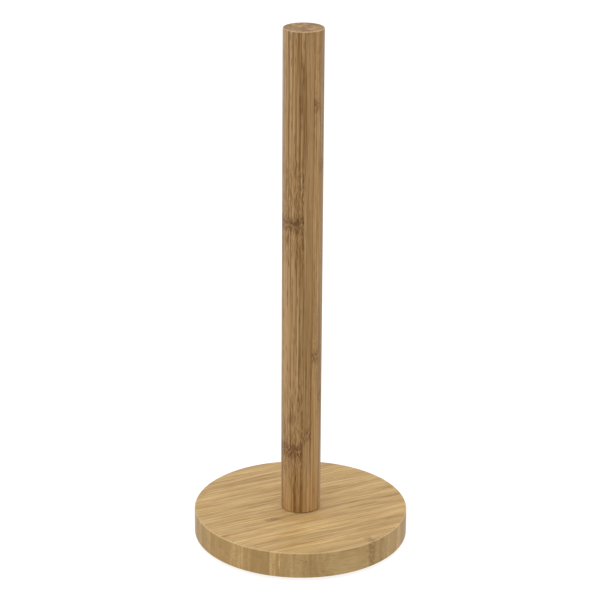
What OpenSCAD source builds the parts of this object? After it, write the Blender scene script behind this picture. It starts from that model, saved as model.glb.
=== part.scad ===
// Paper towel holder: a bamboo post standing on a round bamboo base.
//
// The base is a disc turned from narrow bamboo strips that stand on edge and are glued face to face.
// The post is a rod turned from a stack of wider strips, glued the same way. One wood screw with a washer
// comes up through a recess under the base into the post's end grain, and four stick-on pads lift the
// base off the table.
//
// Millimetres. +Z is up, +X runs along the grain of the base, and the origin is where the post's axis
// meets the table.

/* [Base] */
// Diameter of the round base
base_d = 135; // [125:1:160]
// Thickness of the base
base_t = 17; // [15:0.5:22]
// Number of bamboo strips glued side by side, an even number
base_strips = 30; // [26:2:34]
// Radius of the rounded edges at the top and bottom of the rim
base_edge_r = 1; // [0.5:0.1:2]

/* [Post] */
// Diameter of the post
post_d = 25; // [22:0.5:30]
// Height of the post above the base
post_h = 311; // [250:1:340]
// Number of bamboo strips stacked in the post, an odd number
post_strips = 5; // [3:2:5]
// Direction that the post's strips are stacked in, in degrees from +X
post_turn = 15; // [0:1:180]
// Radius of the rounded edge at the top of the post
post_edge_r = 0.8; // [0.4:0.1:2]
// Chamfer round the foot of the post
post_chamfer = 0.8; // [0.4:0.1:1.5]

/* [Screw and washer] */
// Length of the screw under its head
screw_l = 45; // [40:1:55]
// Diameter over the screw's thread
screw_d = 4.5; // [4:0.1:4.8]
// Distance from one turn of the thread to the next
screw_pitch = 2.2; // [1.8:0.1:2.6]
// Diameter of the screw's pan head
head_d = 9; // [8:0.1:10]
// Height of the screw's pan head
head_h = 3; // [2.5:0.1:3.5]
// Outside diameter of the washer
washer_d = 16; // [14:0.5:17]
// Thickness of the washer
washer_t = 1.2; // [1:0.1:1.6]
// Diameter of the recess that hides the head and the washer
recess_d = 20; // [19:0.5:24]
// Depth of that recess
recess_depth = 5.5; // [5.2:0.1:7]

/* [Pads] */
// Diameter of each pad
pad_d = 12; // [8:0.5:14]
// Thickness of each pad
pad_t = 2; // [1:0.1:3]
// Distance from the post's axis to the middle of each pad
pad_ring_r = 50; // [40:1:52]

/* [Hidden] */
// The names of the strips carry a two-digit or one-digit number, counted towards +Y or along post_turn.
function base_strip_name(i) = str("base_strip_", i < 10 ? "0" : "", i);
function post_strip_name(i) = str("post_strip_", i);

// Each pad's name and the direction in which it lies, in degrees from +X.
PADS = [["pad_front_right", -45], ["pad_back_right", 45], ["pad_back_left", 135], ["pad_front_left", 225]];

$fn = 180;
// How far a cutting shape runs past the faces it cuts
past = 1;

base_r = base_d / 2;
post_r = post_d / 2;
base_top = pad_t + base_t;
base_strip_w = base_d / base_strips;
post_strip_w = post_d / post_strips;

washer_bore_d = 5.2;
washer_z = pad_t + recess_depth - washer_t; // underside of the washer, where the head bears
base_hole_d = 5;                            // clearance hole for the screw through the base
shank_d = 3.4;                              // smooth part of the screw, next to the head
shank_l = 16;
root_d = 2.9;                               // core of the threaded part
tip_l = 5;                                  // length of the screw's point
crest_w = 0.2;                              // width of the thread at its outer edge
ridge_w = 0.9;                              // width of the thread at its core
head_side_h = 1;                            // straight side of the pan head, below its dome
slot_w = 1.1;                               // cross recess in the head
slot_l = 4.8;
slot_depth = 1.9;
pad_chamfer = 0.3;

// Six tones of bamboo. Neighbouring strips come from different canes, so the tones change across a joint.
BAMBOO = ["#c9a873", "#bd9a64", "#d0b17d", "#b38e59", "#c4a26c", "#bf9c6a"];
POST_BAMBOO = ["#a98253", "#a27c4b", "#ad8a5c", "#9d7749", "#a8845a"];
function tone(tones, i) = tones[(i * 7 + floor(i / 4)) % len(tones)];

// Half of the outline of a turned piece of radius r and height h: a chamfer at its foot, or a rounded edge
// there, and a rounded edge at its top.
module turned_outline(r, h, foot, edge, round_foot) {
    polygon([[0, 0], [r - foot, 0], [r, foot], [r, h - edge], [r - edge, h], [0, h]]);
    translate([r - edge, h - edge]) circle(r = edge);
    if (round_foot) translate([r - foot, foot]) circle(r = foot);
}

// The whole disc before it is seen as strips, with the hole and the recess for the screw.
module base_disc() {
    difference() {
        translate([0, 0, pad_t])
            rotate_extrude() turned_outline(base_r, base_t, base_edge_r, base_edge_r, true);
        translate([0, 0, pad_t - past]) cylinder(d = base_hole_d, h = base_t + 2 * past);
        translate([0, 0, pad_t - past]) cylinder(d = recess_d, h = recess_depth + past);
    }
}

// Strip number i of the base, counted from the front edge towards the back.
module base_strip(i) {
    color(tone(BAMBOO, i))
        intersection() {
            base_disc();
            translate([-base_r - past, -base_r + (i - 1) * base_strip_w, pad_t - past])
                cube([base_d + 2 * past, base_strip_w, base_t + 2 * past]);
        }
}

// The whole rod before it is seen as strips. The screw has cut its own seat in the end grain.
module post_rod() {
    difference() {
        translate([0, 0, base_top])
            rotate_extrude() turned_outline(post_r, post_h, post_chamfer, post_edge_r, false);
        translate([0, 0, washer_z]) screw_stem();
    }
}

// Strip number i of the post, counted along the direction post_turn.
module post_strip(i) {
    color(tone(POST_BAMBOO, i))
        intersection() {
            post_rod();
            rotate([0, 0, post_turn])
                translate([-post_r + (i - 1) * post_strip_w, -post_r - past, base_top - past])
                    cube([post_strip_w, post_d + 2 * past, post_h + 2 * past]);
        }
}

// Smooth shank, thread and point, from the underside of the head upwards. Each turn of the thread is a
// closed ring at its place along the pitch.
module screw_stem() {
    turns = floor((screw_l - tip_l - shank_l) / screw_pitch);
    rotate_extrude()
        polygon(concat(
            [[0, 0], [shank_d / 2, 0], [shank_d / 2, shank_l - (shank_d - root_d) / 2]],
            [for (k = [0:turns - 1], p = thread_ring(shank_l + k * screw_pitch)) p],
            [[root_d / 2, screw_l - tip_l], [0, screw_l]]
        ));
}

// One ring of the thread, as radius and height, starting at height z.
function thread_ring(z) = [
    [root_d / 2, z],
    [screw_d / 2, z + (ridge_w - crest_w) / 2],
    [screw_d / 2, z + (ridge_w + crest_w) / 2],
    [root_d / 2, z + ridge_w]
];

// Pan head with a domed face that points down, and a cross recess for the driver.
module screw_head() {
    r = head_d / 2;
    dome_h = head_h - head_side_h;
    dome_r = (r * r + dome_h * dome_h) / (2 * dome_h);
    difference() {
        intersection() {
            translate([0, 0, -head_h]) cylinder(r = r, h = head_h);
            translate([0, 0, dome_r - head_h]) sphere(r = dome_r);
        }
        for (turn = [0, 90])
            rotate([0, 0, turn])
                translate([-slot_l / 2, -slot_w / 2, -head_h - past])
                    cube([slot_l, slot_w, slot_depth + past]);
    }
}

module fixing_screw() {
    color("#b9bcc0")
        translate([0, 0, washer_z])
            union() {
                screw_stem();
                screw_head();
            }
}

module washer() {
    color("#a7aaae")
        translate([0, 0, washer_z])
            difference() {
                cylinder(d = washer_d, h = washer_t);
                translate([0, 0, -past]) cylinder(d = washer_bore_d, h = washer_t + 2 * past);
            }
}

// A round pad stuck to the underside of the base, in the direction angle.
module pad(angle) {
    r = pad_d / 2;
    color("#3a3733")
        rotate([0, 0, angle])
            translate([pad_ring_r, 0, 0])
                rotate_extrude()
                    polygon([[0, 0], [r - pad_chamfer, 0], [r, pad_chamfer], [r, pad_t], [0, pad_t]]);
}

for (i = [1:base_strips]) base_strip(i);
for (i = [1:post_strips]) post_strip(i);
fixing_screw();
washer();
for (p = PADS) pad(p[1]);
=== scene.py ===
"""Looks of the bamboo paper towel holder: its CAD parts' materials, a white floor, light and a camera."""

import math

import bpy
from mathutils import Matrix, Vector


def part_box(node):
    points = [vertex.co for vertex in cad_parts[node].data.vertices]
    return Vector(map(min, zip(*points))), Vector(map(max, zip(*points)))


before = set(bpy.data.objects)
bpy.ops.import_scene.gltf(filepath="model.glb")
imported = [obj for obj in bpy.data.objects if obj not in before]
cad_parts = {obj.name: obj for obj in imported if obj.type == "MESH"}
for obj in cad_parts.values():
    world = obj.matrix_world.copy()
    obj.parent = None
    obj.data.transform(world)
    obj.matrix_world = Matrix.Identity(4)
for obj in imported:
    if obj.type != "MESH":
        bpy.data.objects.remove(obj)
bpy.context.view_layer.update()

MM = 0.001
UP = Vector((0, 0, 1))
WHITE = (1, 1, 1, 1)


def direction(degrees):
    """The level unit vector that stands degrees round from +X."""
    return Vector((math.cos(math.radians(degrees)), math.sin(math.radians(degrees)), 0))


# ------------------------------------------------------------------ sizes that the frame gives
BASE_STRIPS = sorted(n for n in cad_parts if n.startswith("base_strip_"))
POST_STRIPS = sorted(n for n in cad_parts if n.startswith("post_strip_"))
PADS = sorted(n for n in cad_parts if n.startswith("pad_"))

MIDDLE_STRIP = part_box(BASE_STRIPS[len(BASE_STRIPS) // 2])
BASE_RADIUS = MIDDLE_STRIP[1].x
BASE_BOTTOM = MIDDLE_STRIP[0].z
BASE_TOP = MIDDLE_STRIP[1].z
BASE_STRIP_WIDTH = MIDDLE_STRIP[1].y - MIDDLE_STRIP[0].y
POST_RADIUS = max(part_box(n)[1].y for n in POST_STRIPS)
POST_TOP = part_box(POST_STRIPS[0])[1].z
POST_STRIP_WIDTH = 2 * POST_RADIUS / len(POST_STRIPS)
POST_TURN = 15  # degrees from +X to the direction that the post's strips are stacked in, as in part.scad


# ------------------------------------------------------------------ shader graphs
def linear(code):
    """An sRGB colour such as "#c4a371" as the linear RGBA that the shaders take."""
    parts = [int(code[i:i + 2], 16) / 255 for i in (1, 3, 5)]
    return [p / 12.92 if p <= 0.04045 else ((p + 0.055) / 1.055) ** 2.4 for p in parts] + [1]


def shade(colour, amount):
    """A colour made darker by a positive amount, and lighter by a negative one."""
    return [c * (1 - amount) for c in colour[:3]] + [1]


class Graph:
    """Adds nodes to a node tree. An input is a number, a colour or another node's output."""

    def __init__(self, tree):
        self.tree = tree

    def node(self, kind, inputs, **settings):
        made = self.tree.nodes.new("ShaderNode" + kind)
        for name, value in settings.items():
            setattr(made, name, value)
        for name, value in inputs.items():
            self.feed(made.inputs[name], value)
        return made

    def feed(self, socket, value):
        """Links another node's output to an input socket, or sets the socket to a plain value."""
        if isinstance(value, bpy.types.NodeSocket):
            self.tree.links.new(value, socket)
        else:
            socket.default_value = value

    # Numbers
    def calc(self, operation, *values):
        return self.node("Math", dict(enumerate(values)), operation=operation).outputs[0]

    def times(self, product, *factors):
        for factor in factors:
            product = self.calc("MULTIPLY", product, factor)
        return product

    def blend(self, start, *terms):
        """The start and, for each term, its value times its weight."""
        for value, weight in terms:
            start = self.calc("MULTIPLY_ADD", value, weight, start)
        return start

    def centred(self, value):
        return self.calc("SUBTRACT", value, 0.5)

    def apart(self, a, b):
        return self.calc("ABSOLUTE", self.calc("SUBTRACT", a, b))

    def hypotenuse(self, x, y):
        return self.calc("SQRT", self.calc("ADD", self.times(x, x), self.times(y, y)))

    def fade(self, value, start, end, to_start=0.0, to_end=1.0):
        """A smooth step: to_start where value is start, to_end where it is end."""
        return self.node("MapRange", {0: value, 1: start, 2: end, 3: to_start, 4: to_end},
                         interpolation_type="SMOOTHSTEP").outputs[0]

    # Vectors
    def vector(self, x, y, z):
        return self.node("CombineXYZ", {0: x, 1: y, 2: z}).outputs[0]

    def split(self, vector):
        return self.node("SeparateXYZ", {0: vector}).outputs

    def dot(self, vector, axis):
        return self.node("VectorMath", {0: vector, 1: axis}, operation="DOT_PRODUCT").outputs["Value"]

    def moved(self, vector, by):
        return self.node("VectorMath", {0: vector, 1: by}, operation="ADD").outputs[0]

    def scaled(self, vector, factor):
        return self.node("VectorMath", {0: vector, "Scale": factor}, operation="SCALE").outputs[0]

    def place(self):
        """Where a point of the object is, in mm."""
        return self.scaled(self.node("TexCoord", {}).outputs["Object"], 1 / MM)

    # Textures. Each is drawn out to features that are across mm wide and along mm long.
    def stretched(self, vector, across, along):
        return self.node("VectorMath", {0: vector, 1: (1 / across, 1 / across, 1 / along)},
                         operation="MULTIPLY").outputs[0]

    def noise(self, vector, across, along, detail):
        """Noise with two outputs, the number Fac and the three numbers of Color."""
        return self.node("TexNoise", {"Vector": self.stretched(vector, across, along), "Scale": 1.0,
                                      "Detail": detail}).outputs

    def clouds(self, vector, across, along, detail):
        """Noise as one number from 0 to 1."""
        return self.noise(vector, across, along, detail)["Fac"]

    def cells(self, vector, across, along):
        """Cells with two outputs, the Distance to the cell's point and the cell's own Color."""
        return self.node("TexVoronoi", {"Vector": self.stretched(vector, across, along),
                                        "Scale": 1.0}).outputs

    # Colours
    def mix(self, share, a, b):
        made = self.node("Mix", {0: share}, data_type="RGBA")
        self.feed(made.inputs[6], a)
        self.feed(made.inputs[7], b)
        return made.outputs[2]


def new_group(name, inputs, outputs):
    """An empty node group, with its graph and its inputs' sockets."""
    tree = bpy.data.node_groups.new(name, "ShaderNodeTree")
    for in_out, sockets in (("INPUT", inputs), ("OUTPUT", outputs)):
        for label, kind in sockets.items():
            tree.interface.new_socket(name=label, in_out=in_out, socket_type="NodeSocket" + kind)
    return tree, Graph(tree), tree.nodes.new("NodeGroupInput").outputs


def close_group(tree, results):
    end = tree.nodes.new("NodeGroupOutput")
    for name, socket in results.items():
        tree.links.new(socket, end.inputs[name])


def new_material(name):
    made = bpy.data.materials.new(name)
    made.use_nodes = True
    made.node_tree.nodes.clear()
    return made, Graph(made.node_tree)


def finish_material(g, inputs):
    """The Principled shader with these inputs, and the material's output."""
    shader = g.node("BsdfPrincipled", inputs)
    g.node("OutputMaterial", {"Surface": shader.outputs[0]})


def bump(g, height):
    """The normal over a height in mm."""
    return g.node("Bump", {"Height": height, "Strength": 1.0, "Distance": MM}).outputs[0]


def give(node, material):
    """Puts a material on a CAD node."""
    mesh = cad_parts[node].data
    mesh.materials.clear()
    mesh.materials.append(material)


# ------------------------------------------------------------------ bamboo, with its lengths in mm
BUNDLE_PITCH = 1.05             # from one bundle of fibres to the next
BUNDLE_LENGTH = 60              # over which a bundle stays in sight
BUNDLE_DRIFT = 1.4              # width of the path in which it wanders along the strip
BUNDLE_SWERVE = 0.6             # how much wider that path is beside a knot
DASH_WIDTH = 0.75               # of the short dark dashes where a bundle comes up to the surface
DASH_LENGTH = 9
DASH_GAPS = 0.66                # share of their places that stay empty
FIBRE_WIDTH = 0.24              # of a single fibre
FIBRE_LENGTH = 9
FLAME_RISE = 10                 # that the flames round a knot stand higher than the knot
FLAME_WIDTH = 0.62
FLAME_LENGTH = 9
FLAME_SLANT = 0.18              # that they lean to either side, for each mm along the grain
BROW_RISE = 1.2                 # from a knot's pale scar up to the dark line over it
PORE_PITCH = 0.9                # from one dot to the next on a cut end
SEED_STEP = (3.1, 7.7, 53.0)    # from one strip's grain to the grain of the next seed
END_CALM = 0.6                  # share of its streaks that a cut end loses
BLEACHED_AND_HIGHLIGHT = (0.9, 0.8, 0.62, 1)  # linear colour that pale fibres go towards, and the edges for wear and a painted highlight
BLEACH_AND_HIGHLIGHT_SHARE = 0.3                    # how far they go
SANDED = 0.4                    # roughness of the sanded wood, before its fibres and cut ends add to it

BAMBOO_NUMBERS = (
    "Joint below", "Joint above",   # where the strip's two glued faces are, through its thickness
    "Seed",                         # which part of the endless grain is its own
    "Figure", "Contrast",           # how much its bundles and its streaks stand out
    "Lean",                         # how much darker it gets with each mm through its thickness
    "Spread", "Stride",             # how far its streaks are drawn out across its width and along the grain
    "Knot at", "Internode",         # a knot's place along the grain, and the way to the next knot
    "Knot strength", "Knot reach", "Flame reach",
    "End grain", "Soak", "Patchy",  # 1 on a cut end, and how dark and how uneven such an end is
    "Edge wear and highlight", "Paleness of wear and highlight",                 # 1 on an edge with wear and a painted highlight, and how pale such an edge is painted
)
BAMBOO_COLOURS = ("Pale", "Deep", "Fibre", "Knot")


class Bamboo:
    """A node group for bamboo as a solid: long dark bundles of fibres in a paler ground, which cross as
    flames near the knots. Each step lays its marks over the colour so far. Place is in mm: x through the
    strip's thickness, y across its width, and z along the grain."""

    def __init__(self):
        inputs = {"Place": "Vector", **dict.fromkeys(BAMBOO_NUMBERS, "Float"),
                  **dict.fromkeys(BAMBOO_COLOURS, "Color")}
        self.tree, self.g, self.given = new_group(
            "bamboo", inputs, {"Color": "Color", "Roughness": "Float", "Height": "Float"})
        g, given = self.g, self.given
        self.end_grain = given["End grain"]
        parts = g.split(given["Place"])
        self.through, self.along = parts[0], parts[2]
        self.own = g.moved(given["Place"], g.scaled(SEED_STEP, given["Seed"]))
        self.calm = g.blend(1.0, (self.end_grain, -END_CALM))
        self.marked = g.times(given["Contrast"], self.calm)
        # a paler colour, for pale fibres and for the edges' wear with a painted highlight
        self.light = g.mix(BLEACH_AND_HIGHLIGHT_SHARE, given["Pale"], BLEACHED_AND_HIGHLIGHT)
        self.find_knots()
        self.find_bundles()
        self.lay_streaks()
        self.lay_bundles()
        self.lay_flames()
        self.lay_knots()
        self.lay_glue()
        self.lay_cut_ends()
        self.lay_edge_wear_and_highlight()
        close_group(self.tree, {
            "Color": self.colour, "Roughness": self.roughness(), "Height": self.height()})

    def tint(self, colour, *shares):
        """Moves the colour towards another one, by the product of the shares."""
        self.colour = self.g.mix(self.g.times(*shares), self.colour, colour)

    def find_knots(self):
        """How strong the nearest knot's dark band, whose edges wander, and the flames round it are here."""
        g, given = self.g, self.given
        half_internode = g.times(given["Internode"], 0.5)
        from_knot = g.calc("WRAP", g.calc("SUBTRACT", self.along, given["Knot at"]), half_internode,
                           g.times(half_internode, -1.0))
        reach, flame_reach, strength = (given[n] for n in ("Knot reach", "Flame reach", "Knot strength"))
        self.wander = g.centred(g.clouds(self.own, 1.3, 16, 2))
        self.above_knot = g.blend(from_knot, (self.wander, g.times(reach, 1.8)))
        near_knot = g.fade(g.calc("ABSOLUTE", self.above_knot),
                           g.times(reach, 0.4), g.times(reach, 1.3), 1.0, 0.0)
        near_flames = g.fade(g.apart(self.above_knot, FLAME_RISE),
                             g.times(flame_reach, 0.45), flame_reach, 1.0, 0.0)
        self.band = g.times(near_knot, strength)
        self.flames = g.times(near_flames, strength)

    def find_bundles(self):
        """The path along which the bundles run, the bundles themselves, the dashes, and single fibres,
        which are as fine as the sanding scratches beside them."""
        g = self.g
        drift = g.split(g.noise(self.own, 8, 110, 1)["Color"])
        swerve = g.split(g.noise(self.own, 4.5, 10, 0)["Color"])
        swing = g.times(self.flames, BUNDLE_SWERVE)
        aside = [g.blend(0.0, (g.centred(drift[i]), BUNDLE_DRIFT), (g.centred(swerve[i]), swing))
                 for i in (0, 1)]
        self.path = g.moved(self.own, g.vector(*aside, 0.0))
        bundle = g.cells(self.path, BUNDLE_PITCH, BUNDLE_LENGTH)
        own_darkness = g.blend(0.2, (g.split(bundle["Color"])[0], 0.8))
        self.bundle = g.times(g.fade(bundle["Distance"], 0.14, 0.46, 1.0, 0.0), own_darkness)
        dash = g.cells(self.path, DASH_WIDTH, DASH_LENGTH)
        there = g.calc("GREATER_THAN", g.split(dash["Color"])[0], DASH_GAPS)
        self.dash = g.times(g.fade(dash["Distance"], 0.16, 0.5, 1.0, 0.0), there)
        self.fibre = g.clouds(self.path, FIBRE_WIDTH, FIBRE_LENGTH, 2)

    def lay_streaks(self):
        """The ground colour: hair-thin streaks, streaks as wide as a bundle, and broad ones. Spread makes
        them sheets that stand across the strip's width, and a small Stride makes them short."""
        g, given = self.g, self.given
        x, y, z = g.split(self.path)
        sheets = g.vector(x, g.calc("DIVIDE", y, given["Spread"]), g.calc("DIVIDE", z, given["Stride"]))
        thin = g.clouds(sheets, 0.5, 60, 2)
        middling = g.clouds(sheets, 1.3, 80, 1)
        broad = g.clouds(sheets, 5, 170, 1)
        streak = g.centred(g.blend(0.0, (broad, 0.15), (middling, 0.4), (thin, 0.45)))
        tone = g.blend(0.5, (streak, self.marked), (self.through, given["Lean"]))
        self.colour = g.mix(g.fade(tone, 0.4, 0.6), given["Pale"], given["Deep"])
        self.tint(given["Fibre"], g.fade(middling, 0.57, 0.65, 0.0, 0.45), g.fade(thin, 0.4, 0.55),
                  self.marked)
        self.tint(self.light, g.fade(middling, 0.41, 0.33, 0.0, 0.3), self.marked)

    def lay_bundles(self):
        """The bundles and dashes, and single fibres, which are darker or paler than the ground."""
        g, given = self.g, self.given
        self.tint(given["Fibre"], self.bundle, given["Figure"])
        self.tint(given["Fibre"], self.dash, given["Figure"], self.calm, 0.8)
        self.tint(given["Fibre"], g.fade(self.fibre, 0.5, 0.7, 0.0, 0.3), self.marked)
        self.tint(self.light, g.fade(self.fibre, 0.48, 0.3, 0.0, 0.2), self.marked)

    def lay_flames(self):
        """Near a knot the bundles cross each other at a slant, and are cut into flames."""
        g, given = self.g, self.given
        ways = [g.moved(self.path, g.vector(0.0, g.times(self.along, slant), 0.0))
                for slant in (FLAME_SLANT, -FLAME_SLANT)]
        flame = g.calc("MAXIMUM", *(g.clouds(way, FLAME_WIDTH, FLAME_LENGTH, 0) for way in ways))
        strength = g.times(self.flames, given["Figure"])
        self.tint(given["Deep"], strength, 0.15)
        self.tint(given["Fibre"], strength, g.fade(flame, 0.55, 0.68, 0.0, 0.42))
        self.tint(given["Pale"], strength, g.fade(flame, 0.52, 0.44, 0.0, 0.45))

    def lay_knots(self):
        """A darker band of still shorter strokes, with a thin pale scar and a dark line above it."""
        g, given = self.g, self.given
        self.stroke = g.clouds(self.path, 0.7, 2.2, 1)
        self.tint(given["Knot"], self.band, g.fade(self.stroke, 0.4, 0.58, 0.3, 0.72))
        broken = g.fade(self.wander, -0.04, 0.05)
        brow = g.fade(g.apart(self.above_knot, BROW_RISE), 0.3, 0.9, 0.3, 0.0)
        self.tint(given["Knot"], self.band, brow, broken)
        scar = g.times(g.fade(g.calc("ABSOLUTE", self.above_knot), 0.15, 0.7, 0.55, 0.0), broken)
        fleck = g.fade(self.stroke, 0.38, 0.3, 0.0, 0.7)
        self.tint(given["Pale"], self.band, g.calc("MAXIMUM", fleck, scar))

    def lay_glue(self):
        """The thin dark line where two strips meet, which is fainter on a cut end."""
        g, given = self.g, self.given
        to_joint = g.calc("MINIMUM", g.calc("SUBTRACT", self.through, given["Joint below"]),
                          g.calc("SUBTRACT", given["Joint above"], self.through))
        self.glue = g.fade(to_joint, 0.02, 0.22, 1.0, 0.0)
        self.tint(given["Fibre"], self.glue, g.blend(0.3, (self.end_grain, -0.12)))

    def lay_cut_ends(self):
        """A cut end soaks up more oil in patches, is stained in some, and shows the bundles as dots."""
        g, given = self.g, self.given
        patch = g.fade(g.clouds(self.own, 4.5, 30, 2), 0.4, 0.6, -1.0, 1.0)
        self.tint(given["Deep"], self.end_grain, g.blend(given["Soak"], (patch, given["Patchy"])))
        stain = g.fade(g.clouds(self.own, 6.5, 30, 2), 0.54, 0.64, 0.0, 0.5)
        self.tint(given["Knot"], self.end_grain, stain, given["Patchy"])
        dots = g.cells(self.own, PORE_PITCH, 40)
        self.tint(given["Fibre"], self.end_grain, g.fade(dots["Distance"], 0.16, 0.36, 0.45, 0.0))

    def lay_edge_wear_and_highlight(self):
        """Handled edges go pale. The same paling is also a painted highlight where the rounded edges catch
        the light.
        """
        self.tint(self.light, self.given["Edge wear and highlight"], self.given["Paleness of wear and highlight"])

    def roughness(self):
        return self.g.blend(SANDED, (self.fibre, 0.16), (self.end_grain, 0.12), (self.bundle, -0.05))

    def height(self):
        """How high the surface stands, in mm."""
        strokes = self.g.times(self.stroke, self.band)
        return self.g.blend(0.0, (self.fibre, 0.02), (self.bundle, 0.016), (self.glue, -0.02),
                            (strokes, 0.03))


EDGE_WIDTH = 1.0                # of the rounded edges that are painted pale for wear and as a highlight, on the side and on the end that they join
EDGE_NIBBLE = 0.9               # by which the border of that painted paling wanders


def edge_wear_and_highlight_group():
    """From 0 to 1 on the rounded edges of a turned piece, which are painted pale for wear and as a
    highlight. Its sizes are in mm.
    """
    tree, g, given = new_group(
        "edge_wear_and_highlight",
        {"Place": "Vector", "Radius": "Float", "Middle": "Float", "Half height": "Float"},
        {"Edge wear and highlight": "Float"})
    x, y, z = g.split(given["Place"])
    past_side = g.calc("SUBTRACT", g.hypotenuse(x, y), given["Radius"])
    past_end = g.calc("SUBTRACT", g.apart(z, given["Middle"]), given["Half height"])
    corner = g.calc("ADD", g.calc("MINIMUM", past_side, past_end), EDGE_WIDTH)
    nibbled = g.blend(corner, (g.centred(g.clouds(given["Place"], 1, 1, 2)), EDGE_NIBBLE))
    close_group(tree, {"Edge wear and highlight": g.fade(nibbled, 0.25, 0.75)})
    return tree


BAMBOO = Bamboo().tree
EDGE_WEAR_AND_HIGHLIGHT = edge_wear_and_highlight_group()
OIL_IOR = 1.46                  # of the thin film of oil
OIL_SHINE = 0.4                 # a little weaker than the shader's usual 0.5
FUZZ = 0.25                     # sheen of the fine fibres that sanding leaves
FUZZ_ROUGHNESS = 0.35


def bamboo_material(name, across, grain, middle, turned, settings):
    """The material of one strip. across and grain are its axes, and middle its place along across. turned
    is the radius, lowest and highest point of the turned piece that it belongs to."""
    made, g = new_material(name)
    place = g.place()
    own = g.vector(g.calc("SUBTRACT", g.dot(place, across), middle / MM),
                   g.dot(place, grain.cross(across)), g.dot(place, grain))
    radius, low, high = (v / MM for v in turned)
    # where the rounded edges are painted pale, for wear and as a painted highlight
    wear_and_highlight_mask = g.node("Group", {}, node_tree=EDGE_WEAR_AND_HIGHLIGHT)
    for key, value in {"Place": place, "Radius": radius, "Middle": (low + high) / 2,
                       "Half height": (high - low) / 2}.items():
        g.feed(wear_and_highlight_mask.inputs[key], value)
    facing_end = g.calc("ABSOLUTE", g.dot(g.node("TexCoord", {}).outputs["Normal"], grain))
    bamboo = g.node("Group", {}, node_tree=BAMBOO)
    for key, value in {"Place": own, "End grain": g.fade(facing_end, 0.1, 0.95),
                       "Edge wear and highlight": wear_and_highlight_mask.outputs["Edge wear and highlight"], **settings}.items():
        g.feed(bamboo.inputs[key], value)
    finish_material(g, {
        "Base Color": bamboo.outputs["Color"], "Roughness": bamboo.outputs["Roughness"],
        "Normal": bump(g, bamboo.outputs["Height"]), "IOR": OIL_IOR, "Specular IOR Level": OIL_SHINE,
        "Sheen Weight": FUZZ, "Sheen Roughness": FUZZ_ROUGHNESS})
    return made


NO_KNOT = 400           # mm past the end of any strip
NO_JOINT = 100          # mm past the outer face of any strip
TONE_STEP = 0.05        # how much darker each step of its tone makes a strip

# The base's strips, from the front. A tone of 3 is a dark strip, and one of -3 a pale one. A lean darkens a
# strip towards one of its joints, and soak its cut ends. A knot has its place along X and its reach in mm,
# and its strength.
BASE_TONES = [2, 1.5, 1, -2, 1.5, 1.3, 0.3, -1.2, -1.2, 0.6, -1, 0, 1, -1, 0,
              1, -1, 1.5, 0, -1, 1, 0, -1.5, 1, 0, 1.5, 0, 0.5, 1, 0]
BASE_LEAN = [0, 0.012, -0.02, 0.015, 0.02, -0.012, 0.018]
BASE_SOAK = [0.4, 0.4, 0.4, 0, 0.95, 0.85, 0.5, 0.1, 0.2, 0.6, 0.4, 0.6, 0.8, 0.4, 0.6, 0.8, 0.5, 1]
BASE_KNOTS = {1: (17, 3, 0.8), 2: (17, 3, 0.6), 11: (-62, 3, 0.5), 13: (-25, 5, 0.8), 30: (6, 3, 0.4)}
BASE_CONTRAST = 0.85
CALM_STRIPS = {1: 0.25, 2: 0.35, 3: 0.35}       # strips with calmer streaks, and their contrast
# the edge paleness here paints the rounded edges pale, for wear and as a highlight
BASE_FIGURE = {"Figure": 0.4, "Spread": 20, "Stride": 0.45, "Patchy": 0.2, "Paleness of wear and highlight": 0.7,
               "Internode": 2 * NO_KNOT}
BASE_LOOK = {"Pale": "#dbb87c", "Deep": "#bf995e", "Fibre": "#83592a", "Knot": "#7c5020"}

# The post's strips, along POST_TURN. Knots recur in them, so each strip has a knot's height and the way to
# the next one in mm, and their strength.
POST_TONES = [-0.4, 0.3, -3.2, 0.9, 0.6]
POST_LEAN = [0.022, 0.004, -0.006, 0.006, -0.014]
POST_KNOTS = [(211, 149, 1), (73, 260, 0.7), (285, 160, 0.8), (247, 150, 0.6), (180, 165, 1)]
POST_STRENGTHS = [(0.9, 0.8), (0.35, 0.6), (0.5, 0.55), (0.4, 0.6), (0.7, 0.9)]     # of figure and contrast
# the edge paleness here paints the rounded edges pale, for wear and as a highlight
POST_FIGURE = {"Spread": 1, "Stride": 1.3, "Soak": 0.4, "Patchy": 0.75, "Paleness of wear and highlight": 0.8, "Knot reach": 5,
               "Flame reach": 42}
POST_SEED = 70
POST_LOOK = {"Pale": "#cda571", "Deep": "#956d33", "Fibre": "#68400c", "Knot": "#63360a"}


def strip_settings(number, count, width, look, tone):
    """The colours and joints of strip number of count, for the bamboo group."""
    half = width / MM / 2
    settings = {key: shade(linear(code), tone * TONE_STEP) for key, code in look.items()}
    settings["Joint below"] = -half if number > 1 else -NO_JOINT
    settings["Joint above"] = half if number < count else NO_JOINT
    return settings


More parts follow.
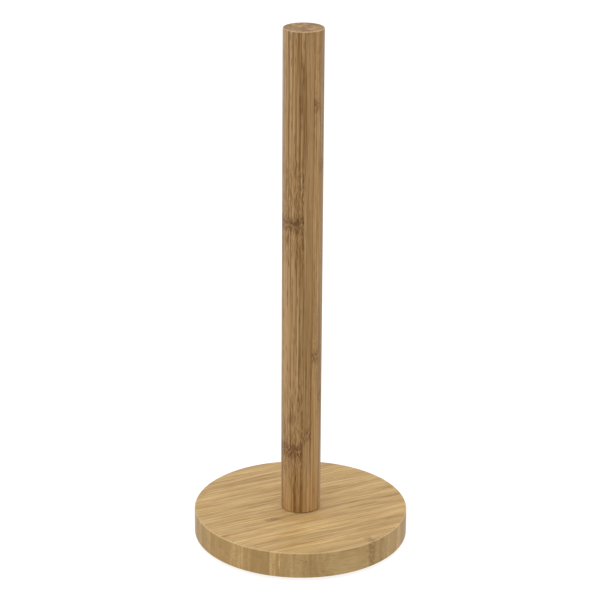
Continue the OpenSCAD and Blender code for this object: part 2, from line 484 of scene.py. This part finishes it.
def dress_base():
    across, grain = Vector((0, 1, 0)), Vector((1, 0, 0))
    for number, name in enumerate(BASE_STRIPS, 1):
        knot, reach, strength = BASE_KNOTS.get(number, (NO_KNOT, 1, 0))
        settings = strip_settings(number, len(BASE_STRIPS), BASE_STRIP_WIDTH, BASE_LOOK,
                                  BASE_TONES[(number - 1) % len(BASE_TONES)])
        settings.update(BASE_FIGURE)
        settings.update({
            "Seed": number, "Contrast": CALM_STRIPS.get(number, BASE_CONTRAST),
            "Lean": BASE_LEAN[number % len(BASE_LEAN)], "Soak": BASE_SOAK[(number - 1) % len(BASE_SOAK)],
            "Knot at": knot, "Knot strength": strength, "Knot reach": reach, "Flame reach": 2 * reach})
        middle = -BASE_RADIUS + (number - 0.5) * BASE_STRIP_WIDTH
        turned = (BASE_RADIUS, BASE_BOTTOM, BASE_TOP)
        give(name, bamboo_material("bamboo_" + name, across, grain, middle, turned, settings))


def dress_post():
    for number, name in enumerate(POST_STRIPS, 1):
        own = (number - 1) % len(POST_TONES)
        knot, internode, strength = POST_KNOTS[own]
        figure, contrast = POST_STRENGTHS[own]
        settings = strip_settings(number, len(POST_STRIPS), POST_STRIP_WIDTH, POST_LOOK, POST_TONES[own])
        settings.update(POST_FIGURE)
        settings.update({
            "Seed": POST_SEED + number, "Figure": figure, "Contrast": contrast, "Lean": POST_LEAN[own],
            "Knot at": knot, "Internode": internode, "Knot strength": strength})
        middle = -POST_RADIUS + (number - 0.5) * POST_STRIP_WIDTH
        turned = (POST_RADIUS, BASE_TOP, POST_TOP)
        give(name, bamboo_material("bamboo_" + name, direction(POST_TURN), UP, middle, turned, settings))


# ------------------------------------------------------------------ screw, washer and pads
RINGS_PER_MM = 9        # of the scratches that run round the washer
ZINC_BLOOM = 0.25       # how much darker the cloudy patches of the zinc are
ZINC_ROUGHNESS = 0.18   # between its scratches
RUBBER_ROUGHNESS = 0.68
RUBBER_IOR = 1.48


def steel_material(name, colour, rings):
    """Zinc-plated steel with a cloudy bloom and fine scratches, which run round the post's axis if rings is
    true."""
    made, g = new_material(name)
    place = g.place()
    x, y, z = g.split(place)
    if rings:
        scratches = g.clouds(g.vector(g.times(g.hypotenuse(x, y), RINGS_PER_MM), 0.0, z), 1, 1, 2)
    else:
        scratches = g.clouds(place, 0.15, 1.5, 2)
    bloom = g.clouds(place, 2, 2, 3)
    pits = g.fade(g.cells(place, 0.4, 0.4)["Distance"], 0.05, 0.3)
    finish_material(g, {
        "Base Color": g.mix(g.fade(bloom, 0.35, 0.65), colour, shade(colour, ZINC_BLOOM)),
        "Roughness": g.blend(ZINC_ROUGHNESS, (scratches, 0.3)), "Metallic": 1.0,
        "Normal": bump(g, g.blend(0.0, (scratches, 0.02), (pits, 0.01)))})
    return made


def rubber_material(name):
    """Cut EVA sheet: matt, nearly black, with fine closed cells and a little dust."""
    made, g = new_material(name)
    place = g.place()
    cell = g.fade(g.cells(place, 0.35, 0.35)["Distance"], 0.1, 0.5)
    dust = g.clouds(place, 1.6, 1.6, 4)
    finish_material(g, {
        "Base Color": g.mix(g.fade(dust, 0.45, 0.75), linear("#2c2a28"), linear("#4b4843")),
        "Roughness": g.blend(RUBBER_ROUGHNESS, (dust, 0.2)), "IOR": RUBBER_IOR,
        "Normal": bump(g, g.times(cell, 0.04))})
    return made


def dress_fittings():
    give("fixing_screw", steel_material("zinc_screw", linear("#c9c8c2"), False))
    give("washer", steel_material("zinc_washer", linear("#bfbfbb"), True))
    rubber = rubber_material("eva_rubber")
    for name in PADS:
        give(name, rubber)


# ------------------------------------------------------------------ camera, floor and light, lengths in m
CAMERA_TURN = 26.5           # degrees that the camera's view is turned from +Y towards +X
CAMERA_DISTANCE = 1.247      # level distance from the post's axis
CAMERA_HEIGHT = 0.6241       # above the floor
CAMERA_ASIDE = -0.0012       # how far it stands to the right of the line through the post
CAMERA_DOWN = 20.47          # degrees that it looks down
CAMERA_ROLL = 0.37           # degrees that it leans
CAMERA_LENS = 129.7          # mm
CAMERA_SENSOR = 36           # mm
CAMERA_SIGHT = 50            # the floor's far edge is nearer than this


def add_camera():
    """The camera that took the photo. Returns the level direction in which it looks."""
    ahead = direction(90 - CAMERA_TURN)
    right = ahead.cross(UP)
    down = math.radians(CAMERA_DOWN)
    roll = Matrix.Rotation(math.radians(CAMERA_ROLL), 3, "Z")
    look = ahead * math.cos(down) - UP * math.sin(down)
    turned = Matrix((right, right.cross(look), -look)).transposed() @ roll
    data = bpy.data.cameras.new("camera")
    data.lens = CAMERA_LENS
    data.sensor_width = CAMERA_SENSOR
    data.clip_end = CAMERA_SIGHT
    camera = bpy.data.objects.new("camera", data)
    camera.matrix_world = Matrix.Translation(
        UP * CAMERA_HEIGHT - ahead * CAMERA_DISTANCE + right * CAMERA_ASIDE) @ turned.to_4x4()
    bpy.context.scene.collection.objects.link(camera)
    bpy.context.scene.camera = camera
    return ahead


FLOOR_SIZE = 16
FLOOR_GAP = 0.05 * MM        # below the pads
FLOOR_GLOW = 0.8             # most of its white is its own light, which keeps shadows on it faint
FLOOR_COLOUR = (0.35, 0.35, 0.35, 1)


def add_floor():
    """A wide white floor. From below it is clear, so that the underside can be seen. What it gives back to
    the object is in the studio light, so the rays that light the object pass through it."""
    half, low = FLOOR_SIZE / 2, -FLOOR_GAP
    mesh = bpy.data.meshes.new("floor")
    mesh.from_pydata([(-half, -half, low), (half, -half, low), (half, half, low), (-half, half, low)], [],
                     [(0, 1, 2, 3)])
    floor = bpy.data.objects.new("floor", mesh)
    floor.visible_diffuse = False
    floor.visible_glossy = False
    floor.visible_shadow = False
    bpy.context.scene.collection.objects.link(floor)
    made, g = new_material("white_floor")
    paint = g.node("BsdfPrincipled", {
        "Base Color": FLOOR_COLOUR, "Roughness": 1.0, "Specular IOR Level": 0.0,
        "Emission Color": WHITE, "Emission Strength": FLOOR_GLOW}).outputs[0]
    clear = g.node("BsdfTransparent", {}).outputs[0]
    below = g.node("NewGeometry", {}).outputs["Backfacing"]
    g.node("OutputMaterial", {"Surface": g.node("MixShader", {0: below, 1: paint, 2: clear}).outputs[0]})
    mesh.materials.append(made)


SKY_SIDES = 0.89             # brightness of the studio's left and right walls
SKY_DIM = 0.61               # how much darker the walls behind the camera and opposite it are
SKY_OVERHEAD = 0.37          # brightness added overhead
SKY_BELOW = 0.62             # brightness of the light that comes up from the table
SUN_STRENGTH = 0.25
SUN_ANGLE = 50               # degrees across, which makes its shadows soft
SUN_HEIGHT = 58              # degrees above the floor
SUN_LEFT = 0.8               # share of its level direction that is to the left
SUN_NEAR = 0.6               # and the share that is towards the camera


def add_studio(ahead):
    """Even light from all round, brighter from the sides, from overhead and from the table."""
    world = bpy.data.worlds.new("studio")
    bpy.context.scene.world = world
    world.use_nodes = True
    world.node_tree.nodes.clear()
    g = Graph(world.node_tree)
    where = g.node("TexCoord", {}).outputs["Generated"]
    ends = g.dot(where, ahead)
    height = g.split(where)[2]
    walls = g.blend(SKY_SIDES, (g.times(ends, ends), -SKY_SIDES * SKY_DIM))
    above = g.blend(walls, (g.times(height, height), SKY_OVERHEAD))
    over_table = g.fade(height, -0.02, 0.02)
    glow = g.blend(SKY_BELOW, (g.calc("SUBTRACT", above, SKY_BELOW), over_table))
    sky = g.node("Background", {"Color": WHITE, "Strength": glow}).outputs[0]
    g.node("OutputWorld", {"Surface": sky})


def add_sun(ahead):
    """A weak, very wide key light, from the left, above and in front."""
    data = bpy.data.lights.new("key", "SUN")
    data.energy = SUN_STRENGTH
    data.angle = math.radians(SUN_ANGLE)
    key = bpy.data.objects.new("key", data)
    aside = (UP.cross(ahead) * SUN_LEFT - ahead * SUN_NEAR).normalized()
    rise = math.radians(SUN_HEIGHT)
    key.rotation_mode = "QUATERNION"
    key.rotation_quaternion = (aside * math.cos(rise) + UP * math.sin(rise)).to_track_quat("Z", "Y")
    bpy.context.scene.collection.objects.link(key)


ahead = add_camera()
add_floor()
add_studio(ahead)
add_sun(ahead)
bpy.context.scene.view_settings.view_transform = "Standard"
dress_base()
dress_post()
dress_fittings()
